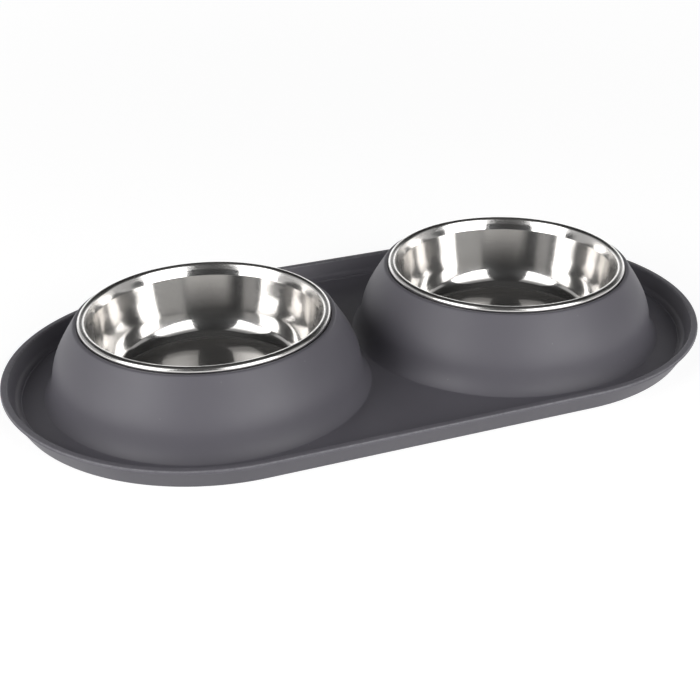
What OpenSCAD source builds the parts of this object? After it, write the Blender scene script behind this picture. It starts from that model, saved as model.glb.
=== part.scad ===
// Double pet bowl: two pressed steel bowls that hang by their rolled rims in a one-piece moulded tray.
// Millimetres. +Z is up, Z = 0 is the table, and the origin lies midway between the two bowls.

/* [Bowls] */
// Outer diameter of a bowl over its rolled rim
bowl_d = 160; // [140:1:180]
// Height of the rolled rims above the table
rim_top_h = 53.3; // [49:0.1:63]
// Height of the bowls' inner floors above the table
bowl_floor_h = 5; // [3:0.1:8]
// Thickness of the pressed steel sheet
sheet_t = 0.8; // [0.5:0.1:1.2]
// Diameter of the rolled edge's round section
roll_d = 5.2; // [4.8:0.1:6]
// Angle that the rolled edge turns through
roll_turn = 290; // [240:1:292]
// Distance from the rim's outer edge in to the crease below it
crease_inset = 6.9; // [6.6:0.1:10]
// Depth of the crease below the top of the rim
crease_drop = 7.7; // [6.6:0.1:12]
// Rounding of the crease on its inner side
crease_r = 3; // [2:0.5:6]
// How far the wall draws in from the crease to the bowl's floor
wall_taper = 8.3; // [5:0.1:20]
// Rounding between the bowl's floor and its wall
floor_r = 12.5; // [4:0.5:14]

/* [Collars] */
// How far a collar's foot stands out past the bowl's rim
collar_reach = 25; // [20:0.5:34]
// Gap between the feet of the two collars
foot_gap = 2; // [1:0.5:20]
// Wall thickness of the moulded collars
collar_t = 3; // [2:0.25:4]
// Height of the bowl rim that stands above the collar
rim_proud_h = 3.3; // [2.4:0.1:3.6]
// Width of the flat land round the bowl's rim
land_w = 1.2; // [0.8:0.1:2]
// Rounding of the land's inner edge
seat_edge_r = 0.6; // [0.3:0.1:1]
// Rounding of the collar's top edge
top_edge_r = 1.6; // [0.8:0.1:2.4]
// Slope of the collar's shoulder, measured from upright
shoulder_angle = 33; // [26:1:40]
// Slope of the collar at its waist, measured from upright
waist_angle = 8; // [2:1:14]
// Slope of the collar where it meets the floor, measured from upright
foot_angle = 46; // [36:1:56]

/* [Tray floor and lip] */
// Thickness of the tray's floor
floor_t = 3; // [2:0.25:4]
// Width of the flat channel between the collars' feet and the step
channel_w = 14; // [8:0.5:40]
// Height of the low step round the floor
step_h = 0.8; // [0.4:0.1:1.2]
// Distance from the step's top edge to the foot of the inner wall
step_w = 3.2; // [3.2:0.1:6]
// Rounding of the cove between the wall and the floor
cove_r = 4.5; // [3:0.5:4.5]
// How far the inner wall leans out on its way up to the lip
wall_lean = 4.4; // [3:0.1:7]
// Thickness of the flared wall, measured level at the foot of its inner side
wall_t = 2.4; // [2:0.1:4]
// Height of the lip above the table
lip_h = 15.5; // [13:0.5:20]
// Width of the lip's flat top
lip_t = 4.2; // [3.5:0.1:5]
// Height of the lip's outer band
lip_band_h = 3; // [2:0.1:3.6]
// How far the lip stands out past the wall under it
lip_overhang = 1.2; // [0.6:0.1:1.6]
// Rounding of the lip's edges
lip_r = 0.9; // [0.4:0.1:1.2]
// Rounding of the tray's bottom edge
base_r = 0.8; // [0.4:0.1:1.5]

/* [Clearances] */
// Gap under the rolled rim, so that the rim sits on its ledge without binding
seat_gap = 0.3; // [0.2:0.05:0.6]
// Gap round the rolled rim in its recess
rim_gap = 0.8; // [0.5:0.1:1.2]
// Gap between the bowl's wall and the hole that it hangs through
hole_gap = 0.8; // [0.5:0.1:1.2]

/* [Hidden] */
$fn = 180;
half_turn = 180;

// Points on each rounded corner, each curve of the collar and the rolled edge
corner_steps = 6;
curve_steps = 12;
roll_steps = 24;

// Length that cuts run on past a face
overrun = 1;

// Waist of the collar: shares of its outward reach from the top edge and of its height above the floor
waist_reach_share = 0.71;
waist_height_share = 0.31;
// Handles of the collar's two curves, as shares of the distance that each curve spans
shoulder_handle_shares = [0.45, 0.32];
foot_handle_shares = [0.36, 0.36];

bowl_r = bowl_d / 2;
roll_r = roll_d / 2;
roll_centre = [bowl_r - roll_r, rim_top_h - roll_r];
crease = [bowl_r - crease_inset, rim_top_h - crease_drop];

// The bowls lie as far apart as their collars' feet allow
foot_r = bowl_r + collar_reach;
bowl_spacing = 2 * foot_r + foot_gap;
bowl_x = bowl_spacing / 2;

ledge_z = rim_top_h - roll_d - seat_gap;
collar_top_z = rim_top_h - rim_proud_h;
recess_r = bowl_r + rim_gap;
ceiling_z = ledge_z - collar_t;

// Vector helpers: unit length, and the perpendicular on the right-hand side
function unit(v) = v / norm(v);
function right_of(v) = [v.y, -v.x];
function flip(points) = [for (i = [len(points) - 1 : -1 : 0]) points[i]];
function mirrored(points) = [for (p = points) [-p.x, p.y]];

// Points of an arc about a centre, from one angle to another
function arc(centre, r, from, to, steps) =
    [for (i = [0 : steps]) centre + r * [cos(from + (to - from) * i / steps), sin(from + (to - from) * i / steps)]];

// Points of a corner p between its neighbours a and b, rounded to radius r
function corner(a, p, b, r) =
    let (
        u = unit(a - p),
        v = unit(b - p),
        half = acos(u * v) / 2,
        centre = p + unit(u + v) * r / sin(half),
        start = p + u * r / tan(half) - centre,
        turn = (cross(u, v) > 0 ? -1 : 1) * (half_turn - 2 * half),
        from = atan2(start.y, start.x)
    )
    arc(centre, r, from, from + turn, corner_steps);

// Chain of points [x, y, rounding]: the inner ones are rounded where they say so, the end ones are kept
function rounded(chain) =
    [for (i = [0 : len(chain) - 1])
        let (p = [chain[i].x, chain[i].y])
        each (
            i == 0 || i == len(chain) - 1 || chain[i].z == 0
                ? [p]
                : corner([chain[i - 1].x, chain[i - 1].y], p, [chain[i + 1].x, chain[i + 1].y], chain[i].z)
        )
    ];

// Curve from a to b that leaves a along da and reaches b along db, with its handles as shares of the span
function blend(a, da, b, db, shares) =
    let (
        span = norm(b - a),
        p = a + unit(da) * span * shares[0],
        q = b - unit(db) * span * shares[1]
    )
    [for (i = [0 : curve_steps])
        let (t = i / curve_steps, s = 1 - t)
        s * s * s * a + 3 * s * s * t * p + 3 * s * t * t * q + t * t * t * b
    ];

// The same path moved sideways by d to its right-hand side
function beside(path, d) =
    [for (i = [0 : len(path) - 1])
        let (
            before = unit(path[max(i, 1)] - path[max(i, 1) - 1]),
            after = unit(path[min(i, len(path) - 2) + 1] - path[min(i, len(path) - 2)]),
            side = unit(right_of(before) + right_of(after))
        )
        path[i] + side * d / (side * right_of(before))
    ];

// Direction that falls by one step for each tangent of its slope outwards
function falling(angle) = [sin(angle), -cos(angle)];

// Outer surface of a collar, from the inner edge of its land down to its foot
land_end = [recess_r + seat_edge_r + land_w, collar_top_z];
top_edge = arc(land_end - [0, top_edge_r], top_edge_r, 90, shoulder_angle, corner_steps);
shoulder_start = top_edge[corner_steps];
foot_end = [foot_r, floor_t];
reach = foot_end - shoulder_start;
waist = [shoulder_start.x + reach.x * waist_reach_share, foot_end.y - reach.y * waist_height_share];
shoulder_curve = blend(
    shoulder_start, falling(shoulder_angle), waist, falling(waist_angle), shoulder_handle_shares
);
foot_curve = blend(waist, falling(waist_angle), foot_end, falling(foot_angle), foot_handle_shares);
bell = concat(shoulder_curve, [for (i = [1 : curve_steps]) foot_curve[i]]);

// Inner surface of a collar: the part of the bell's inner side that lies below the seat's underside
bell_inside = [for (p = beside(bell, collar_t)) if (p.y < ceiling_z) p];
bell_inside_foot = bell_inside[len(bell_inside) - 1];
ceiling_end = [
    bell_inside[0].x - (ceiling_z - bell_inside[0].y) * tan(shoulder_angle),
    ceiling_z
];

// Pressed bowl: the sheet's upper surface as one path, from the middle out and up, then round the roll
to_roll = roll_centre - crease;
to_roll_angle = atan2(to_roll.y, to_roll.x) + asin(roll_r / norm(to_roll));
roll_start = roll_centre + roll_r * [cos(to_roll_angle + 90), sin(to_roll_angle + 90)];
bowl_path = concat(
    rounded([
        [0, bowl_floor_h, 0],
        [crease.x - wall_taper, bowl_floor_h, floor_r],
        [crease.x, crease.y, crease_r],
        [roll_start.x, roll_start.y, 0]
    ]),
    [for (i = [1 : roll_steps])
        roll_centre + roll_r * [
            cos(to_roll_angle + 90 - roll_turn * i / roll_steps),
            sin(to_roll_angle + 90 - roll_turn * i / roll_steps)
        ]
    ]
);

// Hole that the bowl hangs through: clear of the sheet's outer side at the height of the ledge
shoulder_lean = [cos(to_roll_angle), sin(to_roll_angle)];
wall_at_ledge = crease.x + (ledge_z - crease.y) * shoulder_lean.x / shoulder_lean.y + sheet_t / shoulder_lean.y;
hole_r = wall_at_ledge + hole_gap;

// Section of the tray's edge: bottom edge, flared wall, lip, inner wall, cove and step, ending on the floor
step_foot_r = foot_r + channel_w;
step_edge_r = step_foot_r + step_h / 2;
wall_foot_r = step_edge_r + step_w;
lip_in_r = wall_foot_r + wall_lean;
lip_out_r = lip_in_r + lip_t;
step_top_z = floor_t + step_h;
lip_under_z = lip_h - lip_band_h;
wall_top_r = lip_out_r - lip_overhang;
wall_slope = (wall_top_r - wall_foot_r - wall_t) / (lip_under_z - step_top_z);
table_r = wall_top_r - wall_slope * lip_under_z;
edge_outline = rounded([
    [table_r - base_r * 2, 0, 0],
    [table_r, 0, base_r],
    [wall_top_r, lip_under_z, lip_r / 2],
    [lip_out_r, lip_under_z + lip_overhang / 2, lip_r / 2],
    [lip_out_r, lip_h, lip_r],
    [lip_in_r, lip_h, lip_r],
    [wall_foot_r, step_top_z, cove_r],
    [step_edge_r, step_top_z, step_h / 3],
    [step_foot_r, floor_t, 0]
]);

// Half of the tray's base plate, turned about the middle of one bowl
module base_end() {
    rotate_extrude(angle = half_turn, start = -half_turn / 2)
        polygon(concat([[0, 0]], edge_outline, [[0, floor_t]]));
}

// Straight run of the base plate between the two turned ends
module base_middle() {
    rotate([90, 0, 90])
        linear_extrude(height = bowl_spacing, center = true)
            polygon(concat(edge_outline, flip(mirrored(edge_outline))));
}

// Bell-shaped collar, still solid
module collar_body() {
    rotate_extrude()
        polygon(concat(
            [[0, collar_top_z]],
            top_edge,
            [for (i = [1 : len(bell) - 1]) bell[i]],
            [[foot_r, floor_t / 2], [0, floor_t / 2]]
        ));
}

// Room inside a collar: recess for the rolled rim, hole for the bowl, and the hollow under the shell
module collar_room() {
    rotate_extrude()
        polygon(concat(
            [[0, collar_top_z + overrun], [recess_r + seat_edge_r, collar_top_z + overrun]],
            arc([recess_r + seat_edge_r, collar_top_z - seat_edge_r], seat_edge_r, 90, 180, corner_steps),
            [[recess_r, ledge_z], [hole_r, ledge_z], [hole_r, ceiling_z], ceiling_end],
            bell_inside,
            [[bell_inside_foot.x, -overrun], [0, -overrun]]
        ));
}

module at_bowls() {
    for (side = [-1, 1])
        translate([side * bowl_x, 0, 0])
            children();
}

// One moulding: base plate with its flared lip, and two hollow collars that carry the bowls
module tray() {
    color("#55555a")
        difference() {
            union() {
                base_middle();
                translate([bowl_x, 0, 0])
                    base_end();
                translate([-bowl_x, 0, 0])
                    rotate([0, 0, half_turn])
                        base_end();
                at_bowls()
                    collar_body();
            }
            at_bowls()
                collar_room();
        }
}

// Pressed bowl with its edge rolled over and under
module bowl() {
    color("#c9c6c2")
        rotate_extrude()
            polygon(concat(bowl_path, flip(beside(bowl_path, sheet_t))));
}

module left_bowl() {
    translate([-bowl_x, 0, 0])
        bowl();
}

module right_bowl() {
    translate([bowl_x, 0, 0])
        bowl();
}

tray();
left_bowl();
right_bowl();
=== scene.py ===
"""Double pet bowl: two pressed steel bowls in a one-piece moulded silicone tray.

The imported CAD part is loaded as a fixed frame. Each of its three pieces is modelled again
here with the finer edges, the flash line and the surface finish of the real product.
"""

import logging
import math
from dataclasses import dataclass, field
from enum import Enum
from typing import Callable

import bpy
from mathutils import Matrix, Vector


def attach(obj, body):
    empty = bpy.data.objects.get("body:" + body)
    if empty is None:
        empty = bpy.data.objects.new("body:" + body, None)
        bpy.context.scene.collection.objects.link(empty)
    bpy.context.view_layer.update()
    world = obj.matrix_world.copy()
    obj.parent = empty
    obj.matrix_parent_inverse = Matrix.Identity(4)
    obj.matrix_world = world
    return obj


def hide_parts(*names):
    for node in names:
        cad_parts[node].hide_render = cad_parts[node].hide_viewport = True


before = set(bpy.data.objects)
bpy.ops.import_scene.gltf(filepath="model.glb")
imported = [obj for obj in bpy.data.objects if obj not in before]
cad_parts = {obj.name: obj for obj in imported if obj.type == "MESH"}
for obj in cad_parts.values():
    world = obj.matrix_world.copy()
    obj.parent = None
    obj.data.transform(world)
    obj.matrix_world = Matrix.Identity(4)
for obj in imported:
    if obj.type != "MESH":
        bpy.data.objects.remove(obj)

LOG = logging.getLogger("pet_bowl")
MM = 0.001
SAME_PLACE = 0.001 * MM
SAME_RING = 0.02 * MM
ABOVE_ALL = 1.0  # a height in metres that nothing here reaches
DEGREES = 180 / math.pi
WHITE = (1.0, 1.0, 1.0, 1.0)

Socket = bpy.types.NodeSocket
Tree = bpy.types.NodeTree
Pair = tuple[float, float]


class Slot(Enum):
    """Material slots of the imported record."""

    SILICONE = "moulded_silicone"
    STEEL = "polished_steel"


class Side(Enum):
    """The two places in the tray, as signs along X."""

    LEFT = -1
    RIGHT = 1


# Sections: paths of (distance from the turning axis, height) points, in millimetres


def arc(centre: Vector, radius: float, start: float, end: float, steps: int) -> list[Vector]:
    """Points of an arc.

    Args:
        centre: Middle of the arc.
        radius: Its radius.
        start: Angle of the first point, in degrees.
        end: Angle of the last point, in degrees.
        steps: Number of chords.

    Returns:
        The points, both ends included.
    """
    angles = [math.radians(start + (end - start) * i / steps) for i in range(steps + 1)]
    return [centre + radius * Vector((math.cos(a), math.sin(a))) for a in angles]


def rounded(chain: list[tuple[float, float, float]], steps: int) -> list[Vector]:
    """Round the inner corners of a chain.

    Args:
        chain: Points as (distance, height, rounding), with 0 for a sharp corner.
        steps: Number of chords on each rounding.

    Returns:
        The path, with its end points kept.
    """
    points = [Vector(link[:2]) for link in chain]
    path = [points[0]]
    for before, here, after, link in zip(points, points[1:], points[2:], chain[1:]):
        if link[2] == 0:
            path.append(here)
            continue
        back, on = (before - here).normalized(), (after - here).normalized()
        half = math.acos(max(-1.0, min(1.0, back.dot(on)))) / 2
        centre = here + (back + on).normalized() * link[2] / math.sin(half)
        first = here + back * link[2] / math.tan(half) - centre
        side = -1 if back.cross(on) > 0 else 1
        start = math.degrees(math.atan2(first.y, first.x))
        path += arc(centre, link[2], start, start + side * (180 - 2 * math.degrees(half)), steps)
    return path + [points[-1]]


def falling(angle: float) -> Vector:
    """Direction that falls outwards, at an angle in degrees from upright."""
    return Vector((math.sin(math.radians(angle)), -math.cos(math.radians(angle))))


def blend(
    start: Vector, leave: Vector, end: Vector, arrive: Vector, shares: Pair, steps: int
) -> list[Vector]:
    """Points of a smooth curve between two directions.

    Args:
        start: First point.
        leave: Direction there.
        end: Last point.
        arrive: Direction there.
        shares: Lengths of the two handles, as shares of the distance between the ends.
        steps: Number of chords.

    Returns:
        The points, both ends included.
    """
    span = (end - start).length
    first, second = start + leave * span * shares[0], end - arrive * span * shares[1]
    points = []
    for i in range(steps + 1):
        t = i / steps
        s = 1 - t
        points.append(s**3 * start + 3 * s * s * t * first + 3 * s * t * t * second + t**3 * end)
    return points


def beside(path: list[Vector], distance: float) -> list[Vector]:
    """Move a path sideways.

    Args:
        path: The path.
        distance: How far it moves to its right-hand side.

    Returns:
        The moved path, point for point.
    """
    moved = []
    for i, here in enumerate(path):
        before = (path[max(i, 1)] - path[max(i, 1) - 1]).normalized()
        after = (path[min(i, len(path) - 2) + 1] - path[min(i, len(path) - 2)]).normalized()
        side = (Vector((before.y, -before.x)) + Vector((after.y, -after.x))).normalized()
        moved.append(here + side * distance / side.dot(Vector((before.y, -before.x))))
    return moved


# Modelling: the steps that the pieces share


def upright(path: list[Vector], axis_x: float, bearing: float) -> list[Vector]:
    """Stand a section up in space.

    Args:
        path: Points as (distance from the axis, height), in millimetres.
        axis_x: Place of the turning axis on X, in millimetres.
        bearing: Direction from the axis in degrees, where 0 is +X and 90 is +Y.

    Returns:
        The points in space, in metres.
    """
    out = Vector((math.cos(math.radians(bearing)), math.sin(math.radians(bearing)), 0))
    return [(Vector((axis_x, 0, p.y)) + out * p.x) * MM for p in path]


def draw(name: str, path: list[Vector]) -> bpy.types.Object:
    """Draw a path as a chain of extruded vertices, and stay in edit mode with all of it selected.

    Args:
        name: Name of the new piece.
        path: Points in space, in metres.

    Returns:
        The new piece.
    """
    bpy.ops.object.select_all(action="DESELECT")
    bpy.ops.mesh.primitive_plane_add(size=MM, location=path[0])
    piece = bpy.context.object
    piece.name = piece.data.name = name
    bpy.ops.object.mode_set(mode="EDIT")
    bpy.ops.mesh.select_mode(type="VERT")
    bpy.ops.mesh.merge(type="CENTER")
    for here, there in zip(path, path[1:]):
        bpy.ops.mesh.extrude_vertices_move(TRANSFORM_OT_translate={"value": there - here})
    bpy.ops.mesh.select_all(action="SELECT")
    return piece


def spin(axis_x: float, steps: int, angle: float = math.tau, sense: int = 1) -> None:
    """Sweep the selection about an upright axis.

    Args:
        axis_x: Place of the axis on X, in millimetres.
        steps: Number of steps on the way.
        angle: How far round, in radians.
        sense: 1, or -1 to go the other way round.
    """
    bpy.ops.mesh.spin(steps=steps, angle=angle, center=(axis_x * MM, 0, 0), axis=(0, 0, sense))


def select_edges(piece: bpy.types.Object, wanted: Callable[[Vector], bool]) -> None:
    """Select some edges of a piece, and stay in edit mode.

    Args:
        piece: The piece.
        wanted: Test that both ends of such an edge pass.
    """
    bpy.ops.object.mode_set(mode="EDIT")
    bpy.ops.mesh.select_mode(type="EDGE")
    bpy.ops.mesh.select_all(action="DESELECT")
    bpy.ops.object.mode_set(mode="OBJECT")
    good = [wanted(vertex.co) for vertex in piece.data.vertices]
    for edge in piece.data.edges:
        edge.select = good[edge.vertices[0]] and good[edge.vertices[1]]
    bpy.ops.object.mode_set(mode="EDIT")


def close_up(piece: bpy.types.Object, sharp: float) -> None:
    """Merge seams and poles, turn the faces outwards, shade them and settle at the origin.

    Args:
        piece: The piece, in edit mode.
        sharp: Angle in degrees above which an edge stays sharp.
    """
    bpy.ops.mesh.select_all(action="SELECT")
    bpy.ops.mesh.remove_doubles(threshold=SAME_PLACE)
    bpy.ops.mesh.normals_make_consistent(inside=False)
    bpy.ops.object.mode_set(mode="OBJECT")
    bpy.ops.object.transform_apply(location=True, rotation=True, scale=True)
    bpy.ops.object.shade_smooth_by_angle(angle=math.radians(sharp))


# Shader nodes


def linear(code: str) -> tuple[float, float, float, float]:
    """Turn an sRGB hex colour into the linear colour that a shader takes.

    Args:
        code: The colour, such as "5f5e63".

    Returns:
        Red, green, blue and 1.
    """
    parts = [int(code[i : i + 2], 16) / 255 for i in (0, 2, 4)]
    return (*[c / 12.92 if c <= 0.04045 else ((c + 0.055) / 1.055) ** 2.4 for c in parts], 1.0)


def per_metre(size: float) -> float:
    """Scale of a texture whose features are that many millimetres wide."""
    return 1 / (size * MM)


def add_node(
    tree: Tree,
    kind: str,
    inputs: dict[str, object] | tuple[object, ...] = (),
    **settings: object,
) -> bpy.types.Node:
    """Add a node with its settings and links.

    Args:
        tree: The node tree.
        kind: The node's type, without its ShaderNode prefix.
        inputs: What its input sockets take, by their names or in their order. A socket is
            linked, and anything else is a fixed value.
        settings: Properties of the node.

    Returns:
        The new node.
    """
    node = tree.nodes.new("ShaderNode" + kind)
    for key, value in settings.items():
        setattr(node, key, value)
    for key, value in inputs.items() if isinstance(inputs, dict) else enumerate(inputs):
        if isinstance(value, Socket):
            tree.links.new(value, node.inputs[key])
        else:
            node.inputs[key].default_value = value
    return node


def new_material(name: str) -> tuple[bpy.types.Material, Tree, bpy.types.Node]:
    """Make an empty material.

    Args:
        name: Its name.

    Returns:
        The material, its node tree and its output node.
    """
    material = bpy.data.materials.new(name)
    material.use_nodes = True
    tree = material.node_tree
    tree.nodes.clear()
    return material, tree, add_node(tree, "OutputMaterial")


def row_distance(tree: Tree, place: Socket, bowl_x: float) -> Socket:
    """Measure how far a place is from the straight between the axes of the two bowls.

    Args:
        tree: The node tree.
        place: Object coordinates.
        bowl_x: Distance of each axis from the middle, in millimetres.

    Returns:
        The level distance in metres, in which the height has no part.
    """
    row_end = (bowl_x * MM, 0, ABOVE_ALL)
    folded = add_node(tree, "VectorMath", (place,), operation="ABSOLUTE").outputs["Vector"]
    past = add_node(tree, "VectorMath", (folded, row_end), operation="SUBTRACT").outputs["Vector"]
    beyond = add_node(tree, "VectorMath", (past, (0, 0, 0)), operation="MAXIMUM").outputs["Vector"]
    return add_node(tree, "VectorMath", (beyond,), operation="LENGTH").outputs["Value"]


def rays(tree: Tree, *kinds: str) -> Socket:
    """Tell kinds of ray from the others.

    Args:
        tree: The node tree.
        kinds: Names of Light Path outputs.

    Returns:
        1 for those rays, 0 for the others.
    """
    path = add_node(tree, "LightPath").outputs
    total = path[kinds[0]]
    for kind in kinds[1:]:
        total = add_node(tree, "Math", (total, path[kind]), operation="MAXIMUM").outputs[0]
    return total


# Finishes


@dataclass(frozen=True)
class MouldedSilicone:
    """Dark grey silicone rubber, compression moulded in a spark-eroded steel mould.

    The mould leaves a fine satin grain, the rubber is faintly cloudy where it flowed, and its
    tacky surface holds dust and takes pale scuffs on the lip, whose pale bands along the lip's
    edges are also painted highlights. Sizes are in millimetres. The scuffs and painted
    highlights start and end at depths under the top of the lip.
    """

    lip_h: float
    wall_foot: float
    bowl_x: float
    colour: str = "68666d"
    cloud_colour: str = "626067"
    dust_colour: str = "8d8b8c"
    # pale scuffs, which also paint the highlights along the lip's edges
    scuff_and_highlight_colour: str = "858488"
    roughness: Pair = (0.43, 0.57)
    ior: float = 1.5
    cloud_width: float = 45.0
    grain_width: float = 0.45  # the real grain is 0.1 mm wide, too fine to show here
    grain_depth: float = 0.012
    dust_spacing: float = 11.0
    dust_width: float = 0.5
    dust_cover: float = 0.8
    scuff_and_highlight_width: float = 3.0
    scuff_and_highlight_contrast: Pair = (0.3, 0.65)
    scuff_and_highlight_cover: float = 0.9
    scuff_and_highlight_start: Pair = (1.5, 0.7)
    scuff_and_highlight_end: Pair = (0.5, 0.1)
    lip_top_wear_and_highlight: float = 0.25

    def material(self) -> bpy.types.Material:
        """Make the material.

        Returns:
            The finished material.
        """
        material, tree, output = new_material(Slot.SILICONE.value)
        place = add_node(tree, "TexCoord").outputs["Object"]
        clouds, grain = (
            add_node(
                tree,
                "TexNoise",
                {"Vector": place, "Scale": per_metre(width), "Detail": detail, "Roughness": rough},
            ).outputs["Fac"]
            for width, detail, rough in ((self.cloud_width, 4.0, 0.6), (self.grain_width, 3.0, 0.65))
        )
        colour: Socket | tuple[float, ...] = linear(self.colour)
        for cover, code in (
            (clouds, self.cloud_colour),
            (self._dust(tree, place), self.dust_colour),
            # rubbed wear on the lip's edges, partly a painted highlight
            (self._wear_and_highlight(tree, place), self.scuff_and_highlight_colour),
        ):
            layers = {"Factor": cover, "A": colour, "B": linear(code)}
            colour = add_node(tree, "Mix", layers, data_type="RGBA").outputs["Result"]
        relief = {"Height": grain, "Strength": 1.0, "Distance": self.grain_depth * MM}
        shader = add_node(
            tree,
            "BsdfPrincipled",
            {
                "Base Color": colour,
                "Roughness": add_node(tree, "MapRange", (clouds, 0, 1, *self.roughness)).outputs[0],
                "IOR": self.ior,
                "Normal": add_node(tree, "Bump", relief).outputs[0],
            },
        )
        tree.links.new(shader.outputs["BSDF"], output.inputs["Surface"])
        return material

    def _dust(self, tree: Tree, place: Socket) -> Socket:
        """Strew sparse specks of dust.

        Args:
            tree: The node tree.
            place: Object coordinates.

        Returns:
            How much dust lies there, from 0 to 1.
        """
        cells = {"Vector": place, "Scale": per_metre(self.dust_spacing)}
        away = add_node(tree, "TexVoronoi", cells).outputs["Distance"]
        speck = (away, 0.0, self.dust_width / self.dust_spacing, self.dust_cover, 0.0)
        return add_node(tree, "MapRange", speck).outputs[0]

    def _wear_and_highlight(self, tree: Tree, place: Socket) -> Socket:
        """Lighten the edges of the lip, in patches, as rubbed wear and as painted highlights.

        Args:
            tree: The node tree.
            place: Object coordinates.

        Returns:
            How much wear and painted highlight lies there, from 0 to 1.
        """
        height = add_node(tree, "SeparateXYZ", {"Vector": place}).outputs["Z"]
        start, end = (
            [(self.lip_h - depth) * MM for depth in depths]
            for depths in (self.scuff_and_highlight_start, self.scuff_and_highlight_end)
        )
        patches = add_node(
            tree,
            "TexNoise",
            {"Vector": place, "Scale": per_metre(self.scuff_and_highlight_width), "Detail": 5.0, "Roughness": 0.7},
        ).outputs["Fac"]
        on_wall = (row_distance(tree, place, self.bowl_x), self.wall_foot * MM)
        worn_and_highlit = add_node(tree, "Math", on_wall, operation="GREATER_THAN").outputs[0]
        # a band just under the top of the lip: wear, and the painted highlight of its rounded edges
        for grade in (
            (height, *start, 0.0, 1.0),
            (height, *end, 1.0, self.lip_top_wear_and_highlight),
            (patches, *self.scuff_and_highlight_contrast, 0.0, self.scuff_and_highlight_cover),
        ):
            level = add_node(tree, "MapRange", grade).outputs[0]
            worn_and_highlit = add_node(tree, "Math", (worn_and_highlit, level), operation="MULTIPLY").outputs[0]
        return worn_and_highlit


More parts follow.
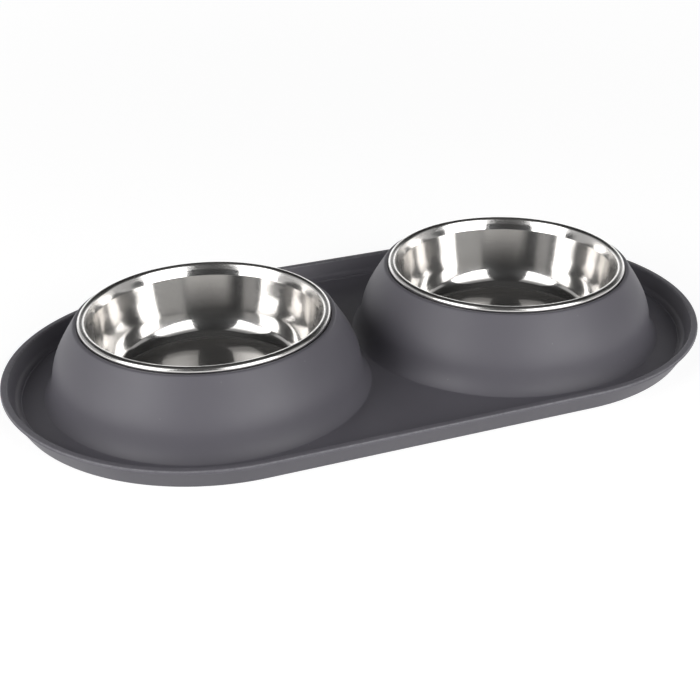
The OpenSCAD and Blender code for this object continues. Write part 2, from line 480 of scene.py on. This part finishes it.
@dataclass(frozen=True)
class PolishedSteel:
    """Stainless steel sheet, deep drawn and then polished on a lathe. Sizes are in millimetres.

    The lathe's mop leaves fine marks that run round the bowl, so the edges of a reflection are
    ragged from side to side. The drawn sheet is a little wavy, and use leaves hairline scratches
    and a smeared haze, which is thinner on the floor. The rolled rim is duller than the wall.
    """

    colour: str = "dcdad7"
    tint_colour: str = "d2d0ce"
    roughness: Pair = (0.04, 0.14)
    rim_dulling: float = 0.13
    rim_z: float = 48.2
    rim_fade: float = 2.0
    haze_roughness: float = 0.36
    haze_ior: float = 1.9
    haze_z: Pair = (6.0, 14.0)
    haze_on_floor: float = 0.2
    haze_least: float = 0.6
    smear_width: float = 16.0
    smear_contrast: Pair = (0.35, 0.62)
    mark_width: float = 0.35  # the real marks are under 0.05 mm wide, too fine to show here
    mark_length: float = 28.0
    mark_contrast: Pair = (0.3, 0.7)
    mark_depth: float = 0.0035
    wall_r: float = 70.0
    wave_width: float = 26.0
    wave_depth: float = 0.06
    scratch_width: float = 7.0
    scratch_level: float = 0.5
    scratch_share: float = 0.006
    scratch_depth: float = 0.003

    def material(self, name: str, axis_x: float) -> bpy.types.Material:
        """Make the material for one bowl.

        Args:
            name: Name of the material.
            axis_x: Place of the bowl's axis on X, in millimetres.

        Returns:
            The finished material.
        """
        material, tree, output = new_material(name)
        place = add_node(tree, "TexCoord").outputs["Object"]
        height = add_node(tree, "SeparateXYZ", {"Vector": place}).outputs["Z"]
        to_axis = {"Vector": place, "Location": (-axis_x * MM, 0, 0)}
        centred = add_node(tree, "Mapping", to_axis).outputs["Vector"]
        marks = self._round_marks(tree, centred)
        waves, smears = (
            add_node(
                tree,
                "TexNoise",
                {"Vector": centred, "Scale": per_metre(width), "Detail": detail, "Roughness": rough},
            ).outputs["Fac"]
            for width, detail, rough in ((self.wave_width, 1.0, 0.4), (self.smear_width, 6.0, 0.7))
        )
        gloss, dulling, haze, patches = (
            add_node(tree, "MapRange", grade).outputs[0]
            for grade in (
                (marks, *self.mark_contrast, *self.roughness),
                (height, self.rim_z * MM, (self.rim_z + self.rim_fade) * MM, 0.0, self.rim_dulling),
                (height, self.haze_z[0] * MM, self.haze_z[1] * MM, self.haze_on_floor, 1.0),
                (smears, *self.smear_contrast, self.haze_least, 1.0),
            )
        )
        rough = add_node(tree, "Math", (gloss, dulling), operation="ADD").outputs[0]
        hazed = add_node(tree, "Math", (haze, patches), operation="MULTIPLY").outputs[0]
        tints = {"Factor": marks, "A": linear(self.colour), "B": linear(self.tint_colour)}
        normal: dict[str, Socket] = {}
        for pattern, depth in (
            (waves, self.wave_depth),
            (marks, self.mark_depth),
            (self._scratches(tree, centred), self.scratch_depth),
        ):
            relief = {"Height": pattern, "Strength": 1.0, "Distance": depth * MM, **normal}
            normal = {"Normal": add_node(tree, "Bump", relief).outputs[0]}
        shader = add_node(
            tree,
            "BsdfPrincipled",
            {
                "Base Color": add_node(tree, "Mix", tints, data_type="RGBA").outputs["Result"],
                "Metallic": 1.0,
                "Roughness": rough,
                "Coat Weight": hazed,
                "Coat Roughness": self.haze_roughness,
                "Coat IOR": self.haze_ior,
                **normal,
            },
        )
        tree.links.new(shader.outputs["BSDF"], output.inputs["Surface"])
        return material

    def _round_marks(self, tree: Tree, centred: Socket) -> Socket:
        """Draw the mop's marks: long round the bowl, fine across it, with no seam.

        Args:
            tree: The node tree.
            centred: Object coordinates about the bowl's axis.

        Returns:
            A pattern from 0 to 1.
        """
        split = add_node(tree, "SeparateXYZ", {"Vector": centred}).outputs
        flat = add_node(tree, "CombineXYZ", (split["X"], split["Y"])).outputs[0]
        way = add_node(tree, "VectorMath", (flat,), operation="NORMALIZE").outputs["Vector"]
        turns = self.wall_r / self.mark_length
        round_it = (way, (turns, turns, 0))
        stretched = add_node(tree, "VectorMath", round_it, operation="MULTIPLY").outputs["Vector"]
        radius = add_node(tree, "VectorMath", (flat,), operation="LENGTH").outputs["Value"]
        across = add_node(tree, "Math", (radius, split["Z"]), operation="ADD").outputs[0]
        across_it = (across, per_metre(self.mark_width))
        fine = add_node(tree, "Math", across_it, operation="MULTIPLY").outputs[0]
        lift = add_node(tree, "CombineXYZ", {"Z": fine}).outputs[0]
        both = add_node(tree, "VectorMath", (stretched, lift), operation="ADD").outputs["Vector"]
        noise = {"Vector": both, "Scale": 1.0, "Detail": 3.0, "Roughness": 0.6}
        return add_node(tree, "TexNoise", noise).outputs["Fac"]

    def _scratches(self, tree: Tree, centred: Socket) -> Socket:
        """Draw hairline scratches as the thin level lines of a smooth noise.

        Args:
            tree: The node tree.
            centred: Object coordinates about the bowl's axis.

        Returns:
            A pattern that is 1 in a scratch and 0 elsewhere.
        """
        scale = per_metre(self.scratch_width)
        smooth = {"Vector": centred, "Scale": scale, "Detail": 0.0, "Distortion": 1.5}
        noise = add_node(tree, "TexNoise", smooth).outputs["Fac"]
        away = add_node(tree, "Math", (noise, self.scratch_level), operation="SUBTRACT").outputs[0]
        size = add_node(tree, "Math", (away,), operation="ABSOLUTE").outputs[0]
        return add_node(tree, "MapRange", (size, 0.0, self.scratch_share, 1.0, 0.0)).outputs[0]


# Pieces


@dataclass
class Bowl:
    """A bowl pressed from one steel disc, with its edge rolled over. Sizes are in millimetres."""

    side: Side
    bowl_x: float
    rim_r: float
    rim_top: float
    roll_d: float
    floor_z: float = 5.0
    sheet_t: float = 0.8
    roll_turn: float = 290.0
    crease_inset: float = 6.9
    crease_drop: float = 7.7
    crease_r: float = 2.2
    wall_taper: float = 8.3
    wall_bow: float = 0.45
    wall_bow_h: float = 31.5
    wall_bow_r: float = 480.0
    wall_bend: float = 0.25
    wall_bend_h: float = 17.5
    wall_bend_r: float = 40.0
    foot_inset: float = 2.4
    floor_r: float = 12.8
    floor_step_r: float = 50.0
    floor_step_w: float = 0.8
    floor_step_h: float = 0.2
    sharp_angle: float = 50.0
    steps_round: int = 256
    steps_corner: int = 10
    steps_roll: int = 44
    finish: PolishedSteel = field(default_factory=PolishedSteel)

    @property
    def body(self) -> str:
        """Name of the CAD body that the bowl rides on."""
        return f"{self.side.name.lower()}_bowl"

    @property
    def axis_x(self) -> float:
        """Place of the bowl's axis on X."""
        return self.side.value * self.bowl_x

    def upper_path(self) -> list[Vector]:
        """Section of the sheet's upper side.

        Returns:
            The path from the middle out, up the wall and round the roll.
        """
        roll_r = self.roll_d / 2
        roll = Vector((self.rim_r - roll_r, self.rim_top - roll_r))
        crease = Vector((self.rim_r - self.crease_inset, self.rim_top - self.crease_drop))
        lean = roll - crease
        tangent = math.degrees(math.atan2(lean.y, lean.x) + math.asin(roll_r / lean.length))
        turned = arc(roll, roll_r, tangent + 90, tangent + 90 - self.roll_turn, self.steps_roll)
        foot = Vector((crease.x - self.wall_taper, self.floor_z - self.floor_step_h))
        bulges = (self.wall_bend, self.wall_bend_h), (self.wall_bow, self.wall_bow_h)
        bend, bow = (
            foot.lerp(crease, (height - foot.y) / (crease.y - foot.y)) + Vector((out, 0))
            for out, height in bulges
        )
        inner = rounded(
            [
                (0, self.floor_z, 0),
                (self.floor_step_r, self.floor_z, self.floor_step_w),
                (self.floor_step_r + self.floor_step_w, foot.y, self.floor_step_w),
                (foot.x - self.foot_inset, foot.y, self.floor_r),
                (bend.x, bend.y, self.wall_bend_r),
                (bow.x, bow.y, self.wall_bow_r),
                (crease.x, crease.y, self.crease_r),
                (turned[0].x, turned[0].y, 0),
            ],
            self.steps_corner,
        )
        return inner + turned[1:]

    def build(self) -> bpy.types.Object:
        """Model the bowl and dress it.

        Returns:
            The finished piece.
        """
        upper = self.upper_path()
        section = upper + beside(upper, self.sheet_t)[::-1]
        piece = draw(f"{self.side.name.lower()}_steel_bowl", upright(section, self.axis_x, 0))
        spin(self.axis_x, self.steps_round)
        close_up(piece, self.sharp_angle)
        material = self.finish.material(f"{Slot.STEEL.value}_{self.body}", self.axis_x)
        piece.data.materials.append(material)
        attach(piece, self.body)
        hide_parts(self.body)
        return piece


@dataclass
class Tray:
    """The moulded tray: base plate, flared wall with its lip, and two hollow collars.

    Sizes are in millimetres.
    """

    bowl_x: float = 106.0
    rim_r: float = 80.0
    rim_top: float = 53.3
    lip_r_out: float = 131.2
    name: str = "silicone_tray"
    body: str = "tray"
    roll_d: float = 5.2
    floor_t: float = 3.0
    foot_gap: float = 2.0
    foot_flat_share: float = 0.45
    foot_fillet: float = 1.6
    collar_t: float = 3.0
    rim_proud_h: float = 3.3
    land_w: float = 1.2
    seat_edge_r: float = 0.6
    top_edge_r: float = 1.6
    shoulder_angle: float = 33.0
    waist_angle: float = 8.0
    foot_angle: float = 46.0
    waist_shares: Pair = (0.71, 0.31)
    shoulder_shares: Pair = (0.45, 0.32)
    foot_shares: Pair = (0.36, 0.36)
    seat_gap: float = 0.3
    rim_gap: float = 0.25
    hole_r: float = 75.4
    step_h: float = 0.8
    step_w: float = 3.2
    cove_r: float = 4.5
    wall_lean: float = 4.4
    wall_t: float = 2.4
    lip_h: float = 15.5
    lip_t: float = 4.2
    lip_band_h: float = 3.0
    lip_overhang: float = 1.2
    lip_edge_r: float = 0.9
    flash_w: float = 0.5
    flash_h: float = 0.18
    base_edge_r: float = 0.8
    hold_w: float = 0.6
    sharp_angle: float = 40.0
    steps_round: int = 256
    steps_straight: int = 24
    steps_corner: int = 8
    steps_curve: int = 18

    @property
    def foot_r(self) -> float:
        """Radius of a collar where it meets the floor."""
        return self.bowl_x - self.foot_gap / 2

    @property
    def wall_foot(self) -> float:
        """Distance from the row of axes to the inner foot of the wall."""
        return self.lip_r_out - self.lip_t - self.wall_lean

    def collar_path(self) -> list[Vector]:
        """Section of a collar, with a narrow flat ring at each end that keeps the floor flat.

        Returns:
            The path from the floor up the bell, through the recess and the hole, and down
            inside to the table.
        """
        top_z = self.rim_top - self.rim_proud_h
        recess_r = self.rim_r + self.rim_gap
        ledge_z = self.rim_top - self.roll_d - self.seat_gap
        ceiling_z = ledge_z - self.collar_t
        land = Vector((recess_r + self.seat_edge_r + self.land_w, top_z))
        edge_middle = land - Vector((0, self.top_edge_r))
        top_edge = arc(edge_middle, self.top_edge_r, 90, self.shoulder_angle, self.steps_corner)
        start, end = top_edge[-1], Vector((self.foot_r, self.floor_t))
        reach = end - start
        out, up = self.waist_shares
        waist = Vector((start.x + reach.x * out, end.y - reach.y * up))
        ways = [falling(a) for a in (self.shoulder_angle, self.waist_angle, self.foot_angle)]
        bell = blend(start, ways[0], waist, ways[1], self.shoulder_shares, self.steps_curve)
        bell += blend(waist, ways[1], end, ways[2], self.foot_shares, self.steps_curve)[1:]
        inside = [p for p in beside(bell, self.collar_t) if p.y < ceiling_z]
        slant = math.tan(math.radians(self.shoulder_angle))
        ceiling_r = inside[0].x - (ceiling_z - inside[0].y) * slant
        foot = rounded(
            [
                (bell[-3].x, bell[-3].y, 0),
                (self.foot_r, self.floor_t, self.foot_fillet),
                (self.foot_r + self.foot_gap * self.foot_flat_share, self.floor_t, 0),
            ],
            self.steps_corner,
        )
        room = rounded(
            [
                (land.x, land.y, 0),
                (recess_r, top_z, self.seat_edge_r),
                (recess_r, ledge_z, self.seat_edge_r / 2),
                (self.hole_r, ledge_z, self.seat_edge_r / 2),
                (self.hole_r, ceiling_z, self.seat_edge_r),
                (ceiling_r, ceiling_z, self.seat_edge_r * 2),
                (inside[0].x, inside[0].y, 0),
            ],
            self.steps_corner,
        )
        table = rounded(
            [
                (inside[-1].x, inside[-1].y, 0),
                (inside[-1].x, 0, self.base_edge_r / 2),
                (inside[-1].x + self.hold_w * 2, 0, 0),
            ],
            self.steps_corner,
        )
        return foot[::-1] + bell[-4::-1] + top_edge[-2::-1] + room[1:] + inside[1:] + table[1:]

    def edge_path(self) -> list[Vector]:
        """Section of the tray's edge, with a narrow flat ring at each end.

        Returns:
            The path from the floor over the step, cove, wall and lip, and down outside to
            the table.
        """
        lip_in = self.lip_r_out - self.lip_t
        step_edge = self.wall_foot - self.step_w
        step_z = self.floor_t + self.step_h
        under_z = self.lip_h - self.lip_band_h
        wall_top = self.lip_r_out - self.lip_overhang
        slope = (wall_top - self.wall_foot - self.wall_t) / (under_z - step_z)
        table_r = wall_top - slope * under_z
        flash_z = under_z + self.lip_overhang / 2 + self.flash_w
        body_r = self.lip_r_out - self.flash_h
        return rounded(
            [
                (step_edge - self.step_h / 2 - self.hold_w, self.floor_t, 0),
                (step_edge - self.step_h / 2, self.floor_t, self.step_h / 3),
                (step_edge, step_z, self.step_h / 3),
                (self.wall_foot, step_z, self.cove_r),
                (lip_in, self.lip_h, self.lip_edge_r),
                (body_r, self.lip_h, self.lip_edge_r),
                (body_r, flash_z + self.flash_w, self.flash_h / 2),
                (self.lip_r_out, flash_z + self.flash_w / 2, self.flash_h / 2),
                (self.lip_r_out, flash_z - self.flash_w / 2, self.flash_h / 2),
                (wall_top, under_z, self.lip_edge_r / 2),
                (table_r, 0, self.base_edge_r),
                (table_r - self.base_edge_r * 2, 0, 0),
            ],
            self.steps_corner,
        )

    def build(self) -> bpy.types.Object:
        """Model the tray and dress it.

        Returns:
            The finished piece.
        """
        collars = [self._collar(side) for side in Side]
        piece = self._edge()
        bpy.ops.object.select_all(action="DESELECT")
        for part in (*collars, piece):
            part.select_set(True)
        bpy.context.view_layer.objects.active = piece
        bpy.ops.object.join()
        bpy.ops.object.transform_apply(location=True, rotation=True, scale=True)
        bpy.ops.object.mode_set(mode="EDIT")
        bpy.ops.mesh.select_all(action="SELECT")
        bpy.ops.mesh.remove_doubles(threshold=SAME_PLACE)
        for end in (0, -1):
            self._fill(piece, self.collar_path()[end], self.edge_path()[end])
        close_up(piece, self.sharp_angle)
        finish = MouldedSilicone(self.lip_h, self.wall_foot, self.bowl_x)
        piece.data.materials.append(finish.material())
        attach(piece, self.body)
        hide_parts(self.body)
        return piece

    def _collar(self, side: Side) -> bpy.types.Object:
        """Turn one collar.

        Args:
            side: Place of the collar in the tray.

        Returns:
            The collar, open at both ends.
        """
        axis_x = side.value * self.bowl_x
        part = draw(f"collar_{side.name.lower()}", upright(self.collar_path(), axis_x, 0))
        spin(axis_x, self.steps_round)
        bpy.ops.object.mode_set(mode="OBJECT")
        return part

    def _edge(self) -> bpy.types.Object:
        """Sweep the edge round the right end, back along the row, round the left end and forth.

        Returns:
            The edge, as a closed ring that bears the tray's name.
        """
        piece = draw(self.name, upright(self.edge_path(), self.bowl_x, -90))
        for side in (Side.RIGHT, Side.LEFT):
            spin(side.value * self.bowl_x, self.steps_round // 2, math.pi, -1)
            stride = -side.value * 2 * self.bowl_x * MM / self.steps_straight
            for _ in range(self.steps_straight):
                bpy.ops.mesh.extrude_region_move(TRANSFORM_OT_translate={"value": (stride, 0, 0)})
        bpy.ops.object.mode_set(mode="OBJECT")
        return piece

    def _fill(self, piece: bpy.types.Object, collar_end: Vector, edge_end: Vector) -> None:
        """Close the flat between the edge and the two collars.

        Args:
            piece: The tray.
            collar_end: End of the collar's section on this flat.
            edge_end: End of the edge's section on this flat.
        """

        def on_ring(place: Vector) -> bool:
            """Tell whether a place lies on one of the three open rings.

            Args:
                place: The place, in metres.

            Returns:
                True if it does.
            """
            if abs(place.z - edge_end.y * MM) > SAME_PLACE:
                return False
            reach = abs(place.x) - self.bowl_x * MM
            off_edge = abs(math.hypot(max(reach, 0), place.y) - edge_end.x * MM)
            off_collar = abs(math.hypot(reach, place.y) - collar_end.x * MM)
            return min(off_edge, off_collar) < SAME_RING

        select_edges(piece, on_ring)
        bpy.ops.mesh.fill(use_beauty=True)


# Studio and camera


def heading(azimuth: float, elevation: float) -> Vector:
    """Direction from the object to a place round it.

    Args:
        azimuth: Angle in degrees, 0 in front and 90 at the right.
        elevation: Angle in degrees above the table.

    Returns:
        The unit vector.
    """
    a, e = math.radians(azimuth), math.radians(elevation)
    return Vector((math.sin(a) * math.cos(e), -math.cos(a) * math.cos(e), math.sin(e)))


@dataclass(frozen=True)
class Softbox:
    """A tall soft lamp that leans over the object and dims towards its top and foot.

    Lengths are in metres and angles in degrees. Levels are brightnesses of its lit face,
    where 1 is white, and the places on that face are shares of its height.
    """

    name: str
    azimuth: float
    width: float
    level: float
    elevation: float = 40.0
    distance: float = 2.1
    height: float = 2.75
    lean: float = 8.0
    dimmest_at: float = 0.82
    top_level: float = 0.04
    foot_level: float = 0.35
    brightest_at: float = 0.34

    def build(self) -> bpy.types.Object:
        """Hang the lamp.

        Returns:
            The lamp.
        """
        lamp = bpy.data.lights.new(self.name, "AREA")
        lamp.shape = "RECTANGLE"
        lamp.size, lamp.size_y = self.width, self.height
        lamp.energy = self.level * math.pi * self.width * self.height
        placed = bpy.data.objects.new(self.name, lamp)
        bpy.context.scene.collection.objects.link(placed)
        placed.location = heading(self.azimuth, self.elevation) * self.distance
        placed.rotation_euler = heading(self.azimuth, self.lean).to_track_quat("Z", "Y").to_euler()
        placed.visible_camera = False
        self._dim(lamp, placed.location.z)
        return placed

    def _dim(self, lamp: bpy.types.AreaLight, middle_z: float) -> None:
        """Let the lit face fall off towards its top and bottom edges.

        Args:
            lamp: The lamp.
            middle_z: Height of its middle.
        """
        rise = self.height * math.cos(math.radians(self.lean))
        bottom = middle_z - rise / 2
        lamp.use_nodes = True
        tree = lamp.node_tree
        tree.nodes.clear()
        place = add_node(tree, "NewGeometry").outputs["Position"]
        height = add_node(tree, "SeparateXYZ", {"Vector": place}).outputs["Z"]
        fall, foot = (
            add_node(tree, "MapRange", grade, interpolation_type="SMOOTHSTEP").outputs[0]
            for grade in (
                (height, bottom, bottom + rise * self.dimmest_at, 1.0, self.top_level),
                (height, bottom, bottom + rise * self.brightest_at, self.foot_level, 1.0),
            )
        )
        level = add_node(tree, "Math", (fall, foot), operation="MULTIPLY").outputs[0]
        glow = add_node(tree, "Emission", {"Color": WHITE, "Strength": level}).outputs[0]
        add_node(tree, "OutputLight", {"Surface": glow})


@dataclass
class Studio:
    """A white sweep under a dark ceiling, with a soft lamp on each side of the camera.

    Angles are in degrees, with azimuths counted from the camera's. Lengths are in metres, apart
    from bowl_x in millimetres. Levels are brightnesses, where 1 is white. A wash is a faint
    light on a stretch of the wall, given as its two ends and its level.
    """

    camera_azimuth: float
    bowl_x: float
    lamp_names: tuple[str, str] = ("softbox_left", "softbox_right")
    lamp_azimuths: Pair = (-53.0, 42.0)
    lamp_widths: Pair = (1.27, 1.46)
    lamp_levels: Pair = (6.7, 6.4)
    ceiling_levels: Pair = (0.025, 0.06)
    ceiling_from: Pair = (52.0, 76.0)
    foot_level: float = 1.9
    foot_fade: Pair = (4.0, 27.0)
    foot_from: Pair = (120.0, 150.0)
    washes: tuple[tuple[float, float, float], ...] = ((-142.0, -76.0, 0.50), (72.0, 112.0, 0.42))
    wash_soft: float = 12.0
    wash_fade: Pair = (28.0, 36.0)
    horizon_fade: Pair = (1.0, 7.0)
    floor_size: float = 8.0
    floor_gap: float = 0.0001
    floor_colour: str = "b8b8b8"
    floor_seen_colour: str = "9c9c9c"
    floor_glow: Pair = (0.84, 0.91)
    floor_reach: Pair = (0.3, 1.5)
    # painted shade: the floor's glow under the tray, as a share of its glow elsewhere
    painted_shade_glow: float = 0.3
    painted_shade_reach: Pair = (0.095, 0.122)

    def build(self) -> None:
        """Set the floor, the surroundings and the lamps."""
        self._floor()
        self._surroundings()
        for name, azimuth, width, level in zip(
            self.lamp_names, self.lamp_azimuths, self.lamp_widths, self.lamp_levels
        ):
            Softbox(name, self.camera_azimuth + azimuth, width, level).build()

    def _floor(self) -> None:
        """Lay the pale floor.

        It shows white, keeps a soft share of the shadow, glows less under the tray as a painted
        shade there, and can be seen through from below.
        """
        bpy.ops.object.select_all(action="DESELECT")
        bpy.ops.mesh.primitive_plane_add(size=self.floor_size, location=(0, 0, -self.floor_gap))
        floor = bpy.context.object
        floor.name = "floor"
        material, tree, output = new_material("white_sweep")
        seen = rays(tree, "Is Camera Ray", "Is Glossy Ray", "Is Transmission Ray")
        place = add_node(tree, "TexCoord").outputs["Object"]
        reach = add_node(tree, "VectorMath", (place,), operation="LENGTH").outputs["Value"]
        off_row = row_distance(tree, place, self.bowl_x)
        strength = seen
        for grade in (
            (reach, *self.floor_reach, *self.floor_glow),
            # painted shade: the glow falls inside the tray's footprint, where the real shadow lies
            (off_row, *self.painted_shade_reach, self.painted_shade_glow, 1.0),
        ):
            level = add_node(tree, "MapRange", grade, interpolation_type="SMOOTHSTEP").outputs[0]
            strength = add_node(tree, "Math", (strength, level), operation="MULTIPLY").outputs[0]
        glow = add_node(tree, "Emission", {"Color": WHITE, "Strength": strength}).outputs[0]
        pale, grey = linear(self.floor_colour), linear(self.floor_seen_colour)
        shades = {"Factor": seen, "A": pale, "B": grey}
        shade = add_node(tree, "Mix", shades, data_type="RGBA").outputs["Result"]
        matt = add_node(tree, "BsdfDiffuse", {"Color": shade}).outputs[0]
        both = add_node(tree, "AddShader", (matt, glow)).outputs[0]
        below = add_node(tree, "NewGeometry").outputs["Backfacing"]
        clear = add_node(tree, "BsdfTransparent").outputs[0]
        one_way = add_node(tree, "MixShader", (below, both, clear)).outputs[0]
        tree.links.new(one_way, output.inputs["Surface"])
        floor.data.materials.append(material)

    def _surroundings(self) -> None:
        """Paint the room.

        It is dark overhead, white to the camera, and white at the horizon in metal and glass.
        """
        world = bpy.data.worlds.new("studio")
        bpy.context.scene.world = world
        world.use_nodes = True
        tree = world.node_tree
        tree.nodes.clear()
        way = add_node(tree, "TexCoord").outputs["Generated"]
        rise = add_node(tree, "SeparateXYZ", {"Vector": way}).outputs["Z"]
        ahead, right = (
            add_node(
                tree,
                "VectorMath",
                (way, heading(self.camera_azimuth + turn, 0)),
                operation="DOT_PRODUCT",
            ).outputs["Value"]
            for turn in (0, 90)
        )
        raised = add_node(tree, "Math", (rise,), operation="ARCSINE").outputs[0]
        turned = add_node(tree, "Math", (right, ahead), operation="ARCTAN2").outputs[0]
        elevation, azimuth = (
            add_node(tree, "Math", (angle, DEGREES), operation="MULTIPLY").outputs[0]
            for angle in (raised, turned)
        )
        ceiling, horizon = (
            add_node(tree, "MapRange", grade, interpolation_type="SMOOTHSTEP").outputs[0]
            for grade in (
                (elevation, *self.ceiling_from, *self.ceiling_levels),
                (elevation, *self.horizon_fade, 1.0, 0.0),
            )
        )
        mirrored = rays(tree, "Is Glossy Ray", "Is Transmission Ray")
        low = add_node(tree, "Math", (horizon, mirrored), operation="MULTIPLY").outputs[0]
        shown = self._walls(tree, azimuth, elevation)
        for level in (ceiling, low, rays(tree, "Is Camera Ray")):
            shown = add_node(tree, "Math", (shown, level), operation="MAXIMUM").outputs[0]
        sky = add_node(tree, "Background", {"Color": WHITE, "Strength": shown}).outputs[0]
        add_node(tree, "OutputWorld", {"Surface": sky})

    def _walls(self, tree: Tree, azimuth: Socket, elevation: Socket) -> Socket:
        """Light the foot of the wall behind the object, and the washes at the sides.

        Args:
            tree: The node tree.
            azimuth: Angle from the camera's azimuth.
            elevation: Angle above the table.

        Returns:
            The level.
        """
        aside = add_node(tree, "Math", (azimuth,), operation="ABSOLUTE").outputs[0]
        lights = [
            [
                (elevation, *self.foot_fade, self.foot_level, 0.0),
                (aside, *self.foot_from, 0.0, 1.0),
            ]
        ]
        for first, last, strength in self.washes:
            lights.append(
                [
                    (azimuth, first, first + self.wash_soft, 0.0, strength),
                    (azimuth, last - self.wash_soft, last, 1.0, 0.0),
                    (elevation, *self.wash_fade, 1.0, 0.0),
                ]
            )
        shown: Socket | float = 0.0
        for grades in lights:
            light: Socket | float = 1.0
            for grade in grades:
                level = add_node(tree, "MapRange", grade, interpolation_type="SMOOTHSTEP")
                product = (light, level.outputs[0])
                light = add_node(tree, "Math", product, operation="MULTIPLY").outputs[0]
            shown = add_node(tree, "Math", (shown, light), operation="MAXIMUM").outputs[0]
        return shown


@dataclass(frozen=True)
class PhotoCamera:
    """The photograph's camera, solved from the rims of the bowls and the outline of the tray.

    Angles are in degrees, the distance is in metres, and aside, above, lens and sensor are in
    millimetres.
    """

    azimuth: float = -20.6
    elevation: float = 26.85
    roll: float = -1.0
    distance: float = 0.9016
    aside: float = -7.81
    above: float = 3.85
    lens: float = 68.76
    sensor: float = 36.0

    def build(self) -> bpy.types.Object:
        """Set up the camera and make it the scene's.

        Returns:
            The camera.
        """
        back = heading(self.azimuth, self.elevation)
        right = heading(self.azimuth + 90, 0)
        up = back.cross(right)
        turn = math.radians(self.roll)
        across = right * math.cos(turn) + up * math.sin(turn)
        upward = up * math.cos(turn) - right * math.sin(turn)
        placed = Matrix((across, upward, back)).transposed().to_4x4()
        placed.translation = (right * self.aside + up * self.above) * MM + back * self.distance
        view = bpy.data.cameras.new("photo_camera")
        view.lens, view.sensor_width = self.lens, self.sensor
        camera = bpy.data.objects.new("photo_camera", view)
        bpy.context.scene.collection.objects.link(camera)
        camera.matrix_world = placed
        bpy.context.scene.camera = camera
        return camera


def main() -> None:
    """Build every piece in order, and report each one."""
    logging.basicConfig(level=logging.INFO, format="%(name)s: %(message)s")
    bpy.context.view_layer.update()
    camera = PhotoCamera()
    tray = Tray()
    bowls = [Bowl(side, tray.bowl_x, tray.rim_r, tray.rim_top, tray.roll_d) for side in Side]
    camera.build()
    Studio(camera.azimuth, tray.bowl_x).build()
    for piece in (tray.build(), *[bowl.build() for bowl in bowls]):
        LOG.info("%s: %d faces", piece.name, len(piece.data.polygons))
    bpy.context.scene.view_settings.view_transform = "Standard"


if __name__ == "__main__":
    main()
